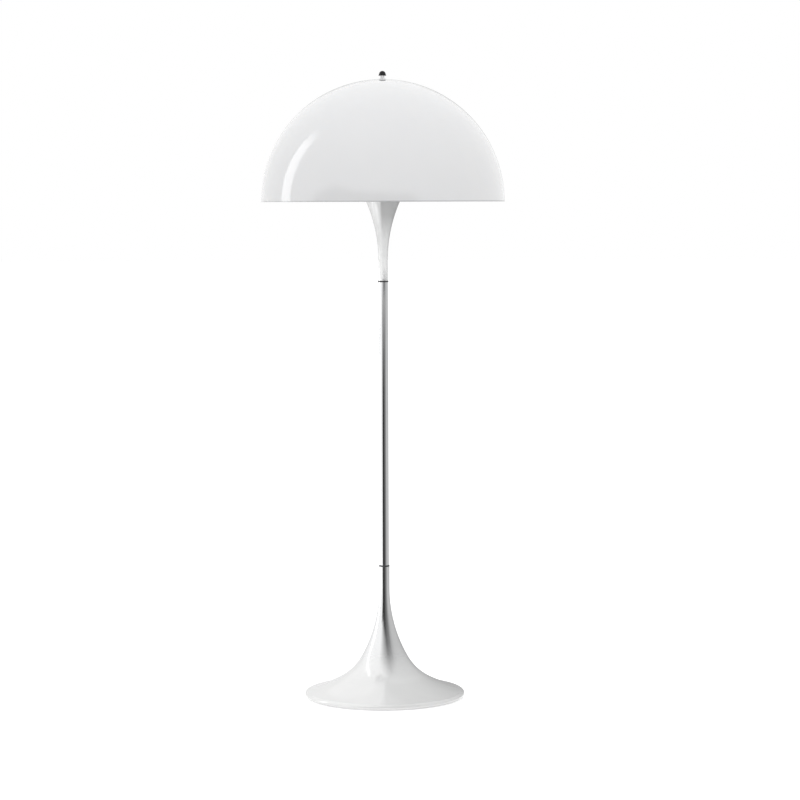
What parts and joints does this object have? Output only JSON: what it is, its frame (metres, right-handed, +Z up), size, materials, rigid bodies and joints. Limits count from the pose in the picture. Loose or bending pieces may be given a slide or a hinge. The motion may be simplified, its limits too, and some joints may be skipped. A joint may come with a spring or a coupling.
{
  "type": "mushroom floor lamp",
  "caption": "Floor lamp with a half-globe opal shade on a slender pole, a trumpet foot and a flared bell below the lampholder.",
  "frame": {"origin": "on the floor, below the axis of the stem", "axes": "+Z up the stem, +Y to the rear, where the mains cord enters, +X to the right"},
  "size_m": [0.4999, 0.5, 1.293],
  "materials": {
    "white_enamel": "gloss white stove enamel",
    "cast_iron": "as cast, blacked",
    "black_sheet": "matt black sheet steel",
    "felt": "dense grey felt",
    "grommet": "white rubber",
    "terminal": "natural polyamide",
    "zinc_steel": "zinc-plated steel",
    "ring": "dark grey satin",
    "pole": "polished tube",
    "holder": "white phenolic",
    "insulator": "unglazed ceramic",
    "brass": "bright brass",
    "flex": "white flex",
    "black_glass": "dark vitreous insulator with a solder contact",
    "cap_metal": "spun aluminium",
    "opal_glass": "opal glass",
    "carrier": "white coated wire",
    "gasket": "soft clear rubber",
    "opal_acrylic": "gloss opal acrylic",
    "bright_trim": "polished",
    "black_gloss": "gloss black"
  },
  "bodies": {
    "stand": {"base_trumpet": "white_enamel", "ballast": "cast_iron", "base_plate": "black_sheet", "base_screws": "zinc_steel", "floor_pad": "felt", "cord_grommet": "grommet", "terminal_block": "terminal", "terminal_screws": "zinc_steel", "rod_washer": "zinc_steel", "rod_nut": "zinc_steel", "tie_rod": "zinc_steel", "lower_joint_bush": "ring", "pole_tube": "pole", "upper_joint_bush": "ring", "bell": "white_enamel", "bell_washer": "zinc_steel", "bell_nut": "zinc_steel", "holder_cap": "holder", "holder_insulator": "insulator", "holder_shell": "holder", "thread_sleeve": "brass", "centre_contact": "brass", "internal_flex": "flex", "shade_carrier": "carrier", "carrier_nut": "holder", "shade_gasket": "gasket"},
    "bulb_contact": {"bulb_tip": "black_glass"},
    "bulb": {"bulb_cap": "cap_metal", "bulb_glass": "opal_glass"},
    "shade": {"shade": "opal_acrylic"},
    "finial_washer": {"finial_washer": "bright_trim"},
    "finial": {"finial_neck": "bright_trim", "finial_knob": "black_gloss"}
  },
  "joints": [
    {"name": "shade_lift", "type": "slide", "parent": "stand", "child": "shade", "axis": [0, 0, 1], "range_m": [0, 0.27]},
    {"name": "finial_rise", "type": "slide", "parent": "shade", "child": "finial_washer", "axis": [0, 0, 1], "range_m": [0, 0.0105]},
    {"name": "finial_turn", "type": "hinge", "parent": "finial_washer", "child": "finial", "pos_m": [0, 0, 1.28], "axis": [0, 0, 1], "range_deg": [0, 4680]},
    {"name": "bulb_rise", "type": "slide", "parent": "stand", "child": "bulb_contact", "axis": [0, 0, 1], "range_m": [0, 0.02]},
    {"name": "bulb_turn", "type": "hinge", "parent": "bulb_contact", "child": "bulb", "pos_m": [0, 0, 1.03], "axis": [0, 0, 1], "range_deg": [0, 1980]}
  ],
  "couplings": [
    {"joint": "finial_rise", "follows": "finial_turn", "m_per_rad": 0.00012732},
    {"joint": "bulb_rise", "follows": "bulb_turn", "m_per_rad": 0.00057614}
  ]
}
